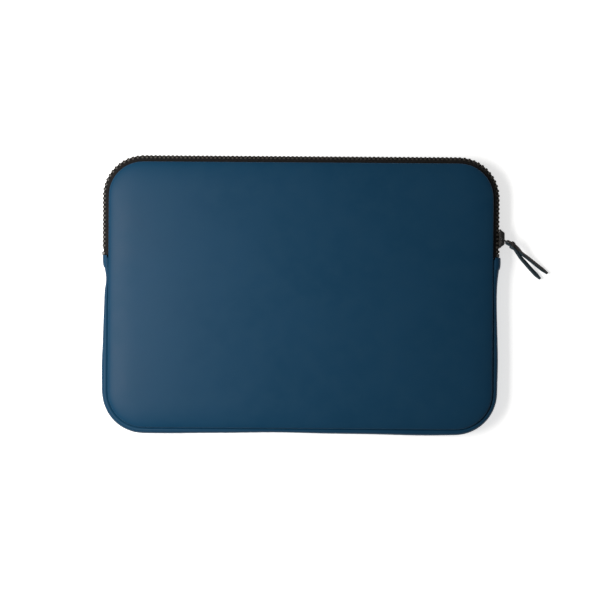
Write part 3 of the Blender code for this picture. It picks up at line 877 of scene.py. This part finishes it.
def add_stitches(name, side):
    """A row of stitches along the binding's open face."""
    mesh = bmesh.new()
    z = MIDDLE_Z + side * (BINDING_LOW - 0.1)
    inset = BINDING_INSETS[1] - 0.8
    for number in range(int(2 * HALF_RIM / STITCH_PITCH)):
        start = -HALF_RIM + number * STITCH_PITCH
        rings = []
        for step in range(5):
            t = step / 4
            dip = STITCH_DIP * (2 * t - 1) ** 2
            centre = rim_place(start + STITCH_LENGTH * t, inset, z + side * dip)
            way = rim(start + STITCH_LENGTH * t)[1]
            thick = STITCH_RADIUS * (1 - 0.5 * abs(2 * t - 1) ** 3)
            ring = []
            for turn in range(6):
                angle = math.pi * turn / 3
                round_it = math.cos(angle) * Vector((*way, 0)) + math.sin(angle) * Vector((0, 0, 1))
                ring.append(centre + thick * round_it)
            rings.append(ring)
        skin(mesh, rings)
    return finish_mesh(name, outward(mesh), THREAD)


# Zip


def parting(s):
    """How far each row stands back from the chain's middle: the rows part below the slider's middle."""
    s = s if s <= HALF_RIM else HALF_RIM * 3
    below = SLIDER_Y - FOLD_Y + FOLD_S
    return PARTING * (1 - smoothstep(below - 8.5, below - 1.0, s))


def tape_ring(s, side):
    """The tape: level out of the seam, then sloping down to the bead that the teeth are moulded on."""
    apart = parting(s)
    line = [(ALLOWANCE, TAPE_LIFT), (1.2, TAPE_LIFT), (0.2, TAPE_LIFT), (-0.9, TAPE_LIFT - 0.05)]
    line += [(-1.6, 5.5 + apart * 0.15), (-2.3, 4.8 + apart * 0.35), (-3.1, 4.15 + apart * 0.65)]
    line += [(-3.8, 3.6 + apart * 0.9), (-4.2, 3.2 + apart), (-CHAIN_OUT, 2.8 + apart)]
    widths = [TAPE] * (len(line) - 2) + [BEAD, BEAD * 0.7]
    return [rim_place(s, inset, MIDDLE_Z + side * lift) for inset, lift in ribbon(line, widths)]


def add_tapes():
    places = steps_between(FOLD_S - 0.2, 2 * HALF_RIM - FOLD_S + 0.2, 2.4)
    for name, side, cad in (("front_tape", 1, "front_zip_tape"), ("back_tape", -1, "back_zip_tape")):
        tape = tube(name, [tape_ring(s, side) for s in places], TAPE_CLOTH, sharp=None, along=places)
        subdivide(tape)
        bends(tape) if side > 0 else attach(tape, "root")
        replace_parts(tape, cad)


def add_tooth(mesh, s, side):
    """One tooth: a body clamped on the tape's bead, a neck and a head."""
    chain, way = rim(s)
    chain = chain + CHAIN_OUT * way
    ahead = Vector((-way.y, way.x))
    outline = list(TOOTH_SHAPE) + [(lift, -half) for lift, half in TOOTH_SHAPE[::-1]]
    rings = []
    for share in (-1, -0.55, 0.55, 1):
        ring = []
        for lift, half in outline:
            depth = TOOTH_HALF_DEPTH if lift > 1.2 else HEAD_HALF_DEPTH
            narrow = 1.0 if abs(share) < 1 else TOOTH_END_SHARE
            place = chain + (share * depth - TOOTH_INSET) * way + half * narrow * ahead
            fall = (TOOTH_SLOPE * (share + 1) + (1 - narrow) * 2) * (lift > 4)
            ring.append(Vector((*place, MIDDLE_Z + side * (lift + parting(s) - fall))))
        rings.append(ring)
    skin(mesh, rings)


def add_teeth():
    first, last = FOLD_S + CHAIN_START, 2 * HALF_RIM - FOLD_S - CHAIN_STOP
    count = int((last - first) / TOOTH_PITCH)
    for name, side, cad in (("front_teeth", 1, "front_zip_teeth"), ("back_teeth", -1, "back_zip_teeth")):
        mesh = bmesh.new()
        shift = 0.0 if side > 0 else TOOTH_PITCH / 2
        for number in range(count):
            add_tooth(mesh, first + shift + number * TOOTH_PITCH, side)
        teeth = finish_mesh(name, outward(mesh), PLASTIC, sharp=50)
        soften(teeth, 0.16, 2, 25)
        bends(teeth) if side > 0 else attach(teeth, "root")
        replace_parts(teeth, cad)


def block(mesh, outline, low, high, placed):
    """A solid between low and high of an outline. placed turns an outline point and a height into a place."""
    skin(mesh, [[placed(point, level) for point in outline] for level in (low, high)])


def add_stops():
    """The clips at the ends of the rows."""
    low, high = node_box("front_top_stop")
    top = FOLD_S + high.y - FOLD_Y
    bottom = FOLD_S + low.y - FOLD_Y
    for name, side, cad in (("front_stop", 1, "front_top_stop"), ("back_stop", -1, "back_top_stop")):
        mesh = bmesh.new()
        near, far = STOP_OUTLINE
        outline = rounded([(bottom, near), (top, near), (top, far), (bottom, far)], 0.6)
        block(mesh, outline, -STOP_HALF_DEPTH, STOP_HALF_DEPTH, lambda point, out: rim_place(
            point[0], -CHAIN_OUT - out, MIDDLE_Z + side * point[1]))
        stop = finish_mesh(name, outward(mesh), METAL)
        soften(stop, 0.35, 3)
        bends(stop) if side > 0 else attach(stop, "root")
        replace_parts(stop, cad)
    mesh = bmesh.new()
    start, half, depth = 2 * HALF_RIM - top, CLOSING_STOP_HALF, CLOSING_STOP_HALF_DEPTH
    end = start + top - bottom
    outline = rounded([(start, -half), (end, -half), (end, half), (start, half)], 0.8)
    block(mesh, outline, -depth, depth, lambda point, out: rim_place(
        point[0], -CHAIN_OUT - out, MIDDLE_Z + point[1]))
    stop = finish_mesh("closing_stop", outward(mesh), METAL)
    soften(stop, 0.45, 3)
    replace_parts(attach(stop, "root"), "bottom_stop")


# Slider


def wing_outline(mouth, tail):
    """A slider plate's outline as (y, z) from the slider's middle, broad at the mouth and narrow at the tail."""
    end = WING_HALF_LENGTH
    half = [(-end, mouth * 0.55), (-end + 1.5, mouth * 0.86), (-3.2, mouth)]
    half += [(end - 3.2, tail), (end, tail * 0.62)]
    return rounded(half + [(y, -z) for y, z in half[::-1]], 1.2)


def slider_place(point, x):
    return Vector((HALF_WIDTH + CHAIN_OUT + x, SLIDER_Y + point[0], MIDDLE_Z + point[1]))


def add_slider_body():
    mesh = bmesh.new()
    block(mesh, wing_outline(*OUTER_WING), WING_GAP, WING_GAP + WING, slider_place)
    block(mesh, wing_outline(*INNER_WING), -WING_GAP - WING, -WING_GAP, slider_place)
    wedge = rounded([(-8.0, 0.1), (-4.4, 0.28), (-3.4, 0), (-4.4, -0.28), (-8.0, -0.1)], 0.2, 2)
    block(mesh, wedge, -WING_GAP - PLATE_BITE, WING_GAP + PLATE_BITE, slider_place)
    for side in (1, -1):
        rail = [(-6.8, 5.8), (-3.2, 5.85), (6.0, 4.65), (6.0, 4.1), (-2.4, 5.25), (-6.8, 5.35)]
        rail = rounded([(y, side * z) for y, z in rail], 0.3, 2)
        block(mesh, rail, RAIL_START, WING_GAP + PLATE_BITE, slider_place)
    body = finish_mesh("slider_plates", outward(mesh), METAL)
    soften(body, 0.3, 3)
    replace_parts(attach(body, "slider"), "slider_body")


def add_slider_cap():
    """The crown over the ring's bar: an arch with closed cheeks, slotted for the bar."""
    foot_x = WING_GAP + WING - 0.1
    top_x = CAP_TOP_X - HALF_WIDTH - CHAIN_OUT
    outer = [(-7.6, foot_x), (-5.2, top_x), (5.2, top_x), (7.6, foot_x)]
    inner = [(6.2, foot_x), (4.5, top_x - CAP_SHEET), (-4.5, top_x - CAP_SHEET), (-6.2, foot_x)]
    outline = rounded(outer + inner, 0.9)
    mesh = bmesh.new()
    skin(mesh, [[slider_place((y, z), x) for y, x in outline] for z in (-CAP_HALF_WIDTH, CAP_HALF_WIDTH)])
    bar_x, slot = RING_PIVOT.x - HALF_WIDTH - CHAIN_OUT, BAR_SLOT
    cheek = rounded([(-7.5, foot_x), (-5.2, top_x - 0.25), (5.2, top_x - 0.25), (7.5, foot_x)], 0.7)
    cheek += [(slot, foot_x), (slot, bar_x), (slot * 0.7, bar_x + slot * 0.7), (0, bar_x + slot)]
    cheek += [(-slot * 0.7, bar_x + slot * 0.7), (-slot, bar_x), (-slot, foot_x)]
    low, high = CAP_HALF_WIDTH - CHEEK_IN, CAP_HALF_WIDTH - CHEEK_OUT
    for levels in ((low, high), (-high, -low)):
        skin(mesh, [[slider_place((y, z), x) for y, x in cheek] for z in levels])
    cap = finish_mesh("slider_crown", outward(mesh), METAL)
    soften(cap, 0.12, 2)
    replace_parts(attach(cap, "slider"), "slider_cap")


def add_slider_spring():
    """The lock's leaf spring under the crown."""
    foot_x = WING_GAP + WING + 0.25
    leaf_x = CAP_TOP_X - HALF_WIDTH - CHAIN_OUT - 1.3
    line = [(-4.1, foot_x), (-4.3, foot_x + 0.7), (-3.6, leaf_x - 0.3), (-1.5, leaf_x), (1.5, leaf_x)]
    line.append((4.1, leaf_x - 0.4))
    outline = ribbon(line, SPRING_SHEET)
    mesh = bmesh.new()
    levels = (-SPRING_HALF_WIDTH, SPRING_HALF_WIDTH)
    skin(mesh, [[slider_place((y, z), x) for y, x in outline] for z in levels])
    spring = finish_mesh("slider_spring", outward(mesh), METAL)
    soften(spring, 0.08, 2)
    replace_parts(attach(spring, "slider"), "slider_lock_spring")


# Ring and lace

RING_WAY = (RING_END - RING_PIVOT).normalized()
RING_SIDE = Vector((-RING_WAY.y, RING_WAY.x, 0))
UP = Vector((0, 0, 1))


def wire(path, radius, sides=10):
    """Rings round a closed path that lies in one plane."""
    rings = []
    normal = RING_SIDE
    for i, point in enumerate(path):
        ahead = (path[(i + 1) % len(path)] - path[i - 1]).normalized()
        flat = ahead.cross(normal)
        ring = []
        for turn in range(sides):
            angle = 2 * math.pi * turn / sides
            ring.append(point + radius * (math.cos(angle) * normal + math.sin(angle) * flat))
        rings.append(ring)
    return rings


def add_ring():
    length, half = (RING_END - RING_PIVOT).length, RING_HALF_WIDTH
    corners = [(0, -half), (length, -half), (length, half), (0, half)]
    path = [RING_PIVOT + out * RING_WAY + up * UP for out, up in rounded(corners, 1.5, 6)]
    ring = tube("pull_ring_wire", wire(path, RING_WIRE), RING_METAL, sharp=None, loop=True)
    subdivide(ring)
    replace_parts(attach(ring, "ring"), "pull_ring")


# Each tail as (out, sideways, drop, lean in degrees) from the ring's end, then the tips

UPPER_TAIL = [
    (1.5, 1.3, 0, 4), (4.0, 1.6, 0, 10), (7, 1.4, -0.2, 16), (11, 0.6, -1.2, 25), (15.7, -0.75, -2.6, 32),
    (23, -1.0, -4.6, 38), (31, -1.45, -6.4, 40), (38, -1.9, -7.7, 42),
]
LOWER_TAIL = [
    (1.5, -0.95, 0, 4), (4.0, -0.75, 0, 10), (7.5, -1.15, -0.2, 16), (12, -2.6, -1.2, 27),
    (17.7, -4.5, -3.0, 38), (23, -5.7, -4.6, 46), (29.7, -7.25, -6.6, 50), (36.2, -8.6, -8.0, 52),
]
UPPER_TIP = (45.4, -2.2, -8.6, 42)
LOWER_TIP = (42.8, -9.8, -8.8, 52)
TURN_RADIUS = RING_WIRE + LACE_GAP + LACE_THICKNESS / 2
KNOT_AT = 5.0
KNOT_LENGTH = 3.2
KNOT_SIDE = 0.3
KNOT_SLANT = 1.0
TAIL_STEPS = 10
# The line between the two tails, as sideways over out from the ring's end. Beyond it the lace shows its raw
# edge.
TAILS_PART = -0.06


def smooth_points(points, steps):
    """Points of a smooth curve through these tuples of numbers."""
    rows = [np.array(point, float) for point in points]
    padded = [2 * rows[0] - rows[1]] + rows + [2 * rows[-1] - rows[-2]]
    result = []
    for a, b, c, d in zip(padded, padded[1:], padded[2:], padded[3:]):
        for step in range(steps):
            t = step / steps
            place = 2 * b + (c - a) * t + (2 * a - 5 * b + 4 * c - d) * t * t + (3 * b - a - 3 * c + d) * t**3
            result.append(place / 2)
    return [[float(number) for number in place] for place in result + [rows[-1]]]


def lace_sections():
    """(centre, lean, width) along the lace, from the upper tail's tip round the ring to the lower one's."""
    turn = []
    for step in range(13):
        angle = math.pi * (0.5 + step / 12)
        turn.append((TURN_RADIUS * math.cos(angle), TURN_RADIUS * math.sin(angle), 0, 0))
    sections = []
    for tail, tip, order in ((UPPER_TAIL, UPPER_TIP, 1), (LOWER_TAIL, LOWER_TIP, -1)):
        points = smooth_points([turn[0] if order > 0 else turn[-1]] + tail + [tip], TAIL_STEPS)[1:]
        total = len(points)
        rows = []
        for i, (out, side, drop, lean) in enumerate(points):
            left = (total - 1 - i) / TAIL_STEPS
            width = LACE_WIDTH * (0.25 + 0.75 * min(1.0, left / 0.8) ** 0.6)
            rows.append((out, side, drop, lean * order, width))
        sections.append(rows)
    middle = [(*place, LACE_WIDTH) for place in turn]
    ordered = sections[0][::-1] + middle + sections[1]
    return [
        (RING_END + out * RING_WAY + side * RING_SIDE + drop * UP, lean, width)
        for out, side, drop, lean, width in ordered
    ]


def lace_ring(centre, ahead, lean, width, thickness):
    """The lace's section: a flat strip with slightly rounded faces and raw edges."""
    ahead = Vector((ahead.x, ahead.y, 0)).normalized()
    sideways = Vector((-ahead.y, ahead.x, 0))
    wide = math.cos(math.radians(lean)) * UP + math.sin(math.radians(lean)) * sideways
    flat = wide.cross(ahead)
    half, thick = width / 2, thickness / 2
    edge = min(0.45, half * 0.4)
    section = [
        (half, thick * 0.45), (half - edge * 0.3, thick * 0.8), (half - edge, thick),
        (half * 0.3, thick * 1.05), (-half * 0.3, thick * 1.05),
        (-half + edge, thick), (-half + edge * 0.3, thick * 0.8), (-half, thick * 0.45),
    ]
    section += [(up, -out) for up, out in section[::-1]]
    return [centre + up * wide + out * flat for up, out in section]


def add_lace():
    sections = lace_sections()
    rings = []
    for i, (centre, lean, width) in enumerate(sections):
        ahead = sections[min(i + 1, len(sections) - 1)][0] - sections[max(i - 1, 0)][0]
        share = smoothstep(-0.4, 1.6, RING_WAY.dot(centre - RING_END))
        thickness = LACE_THICKNESS + (TAIL_THICKNESS - LACE_THICKNESS) * share
        rings.append(lace_ring(centre, ahead, lean, width, thickness))
    mesh = bmesh.new()
    skin(mesh, rings)
    skin(mesh, knot_rings(), loop=True)
    lace = finish_mesh("pull_strap", outward(mesh), LACE_FACE, sharp=50)
    lace.data.materials.append(LACE_EDGE)
    for face in lace.data.polygons:
        place = face.center / MM - RING_END
        if RING_SIDE.dot(place) > TAILS_PART * RING_WAY.dot(place):
            face.material_index = 1
    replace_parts(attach(lace, "lace"), "pull_lace")


def knot_rings():
    """The crossing: the doubled end of the lace, slanting round both tails."""
    side = TURN_RADIUS + LACE_THICKNESS / 2 + 0.45
    up = LACE_WIDTH / 2 + 0.4
    path = rounded([(side, up), (-side, up), (-side, -up), (side, -up)], 1.4, 6)
    rings = []
    for i, (across, lift) in enumerate(path):
        before, after = path[i - 1], path[(i + 1) % len(path)]
        ahead = Vector(after) - Vector(before)
        out = Vector((ahead.y, -ahead.x)).normalized()
        slant = -KNOT_SLANT * across / side * smoothstep(-0.6, 0.6, lift)
        centre = RING_END + (KNOT_AT + slant) * RING_WAY
        half = KNOT_LENGTH / 2
        section = [
            (half, -0.3), (half - 0.35, 0.45), (0.4, 0.62), (-0.4, 0.62),
            (-half + 0.35, 0.45), (-half, -0.3), (-half + 0.4, -0.5), (half - 0.4, -0.5),
        ]
        ring = []
        for along, thick in section:
            place = centre + along * RING_WAY
            sideways = KNOT_SIDE + across + thick * out.x
            ring.append(place + sideways * RING_SIDE + (lift + thick * out.y) * UP)
        rings.append(ring)
    return rings


# Floor, lights and camera


def add_stage():
    floor_mesh = bmesh.new()
    bmesh.ops.create_grid(floor_mesh, x_segments=4, y_segments=4, size=4000)
    floor = Finish("floor", (0.9, 0.9, 0.9), 0.9, Specular_IOR_Level=0.2, Emission_Strength=0.6)
    floor.set("Emission Color", (1, 1, 1, 1))
    plane = finish_mesh("floor", floor_mesh, floor.done(), sharp=None)
    plane.location.z = -0.2 * MM

    world = bpy.data.worlds.new("studio")
    bpy.context.scene.world = world
    world.use_nodes = True
    world.node_tree.nodes["Background"].inputs[0].default_value = (1.0, 1.0, 1.0, 1.0)
    world.node_tree.nodes["Background"].inputs[1].default_value = 0.22

    light = bpy.data.lights.new("window", "AREA")
    light.shape = "RECTANGLE"
    light.size, light.size_y = 0.48, 0.3
    light.energy = 5.2
    light.color = (1.0, 0.985, 0.96)
    lamp = bpy.data.objects.new("window", light)
    lamp.location = (-0.36, 0.0, 0.5)
    lamp.rotation_euler = (Vector((-0.25, 0, 0)) - lamp.location).to_track_quat("-Z", "Y").to_euler()
    lamp.visible_camera = False
    bpy.context.scene.collection.objects.link(lamp)


# The camera looks straight down.
CAMERA_PLACE = (-0.00044, -0.00397, 1.48)
CAMERA_LENS = 100.0
CAMERA_ROLL = math.radians(0.39)


def add_camera():
    data = bpy.data.cameras.new("camera")
    data.lens = CAMERA_LENS
    data.sensor_width = 36.0
    camera = bpy.data.objects.new("camera", data)
    camera.location = CAMERA_PLACE
    camera.rotation_euler = (0, 0, CAMERA_ROLL)
    bpy.context.scene.collection.objects.link(camera)
    bpy.context.scene.camera = camera
    bpy.context.scene.view_settings.view_transform = "Standard"


def main():
    add_camera()
    add_stage()
    add_front_panel()
    add_back_panel()
    add_gusset()
    add_tabs()
    add_bindings()
    add_tapes()
    add_teeth()
    add_stops()
    add_slider_body()
    add_slider_cap()
    add_slider_spring()
    add_ring()
    add_lace()


main()
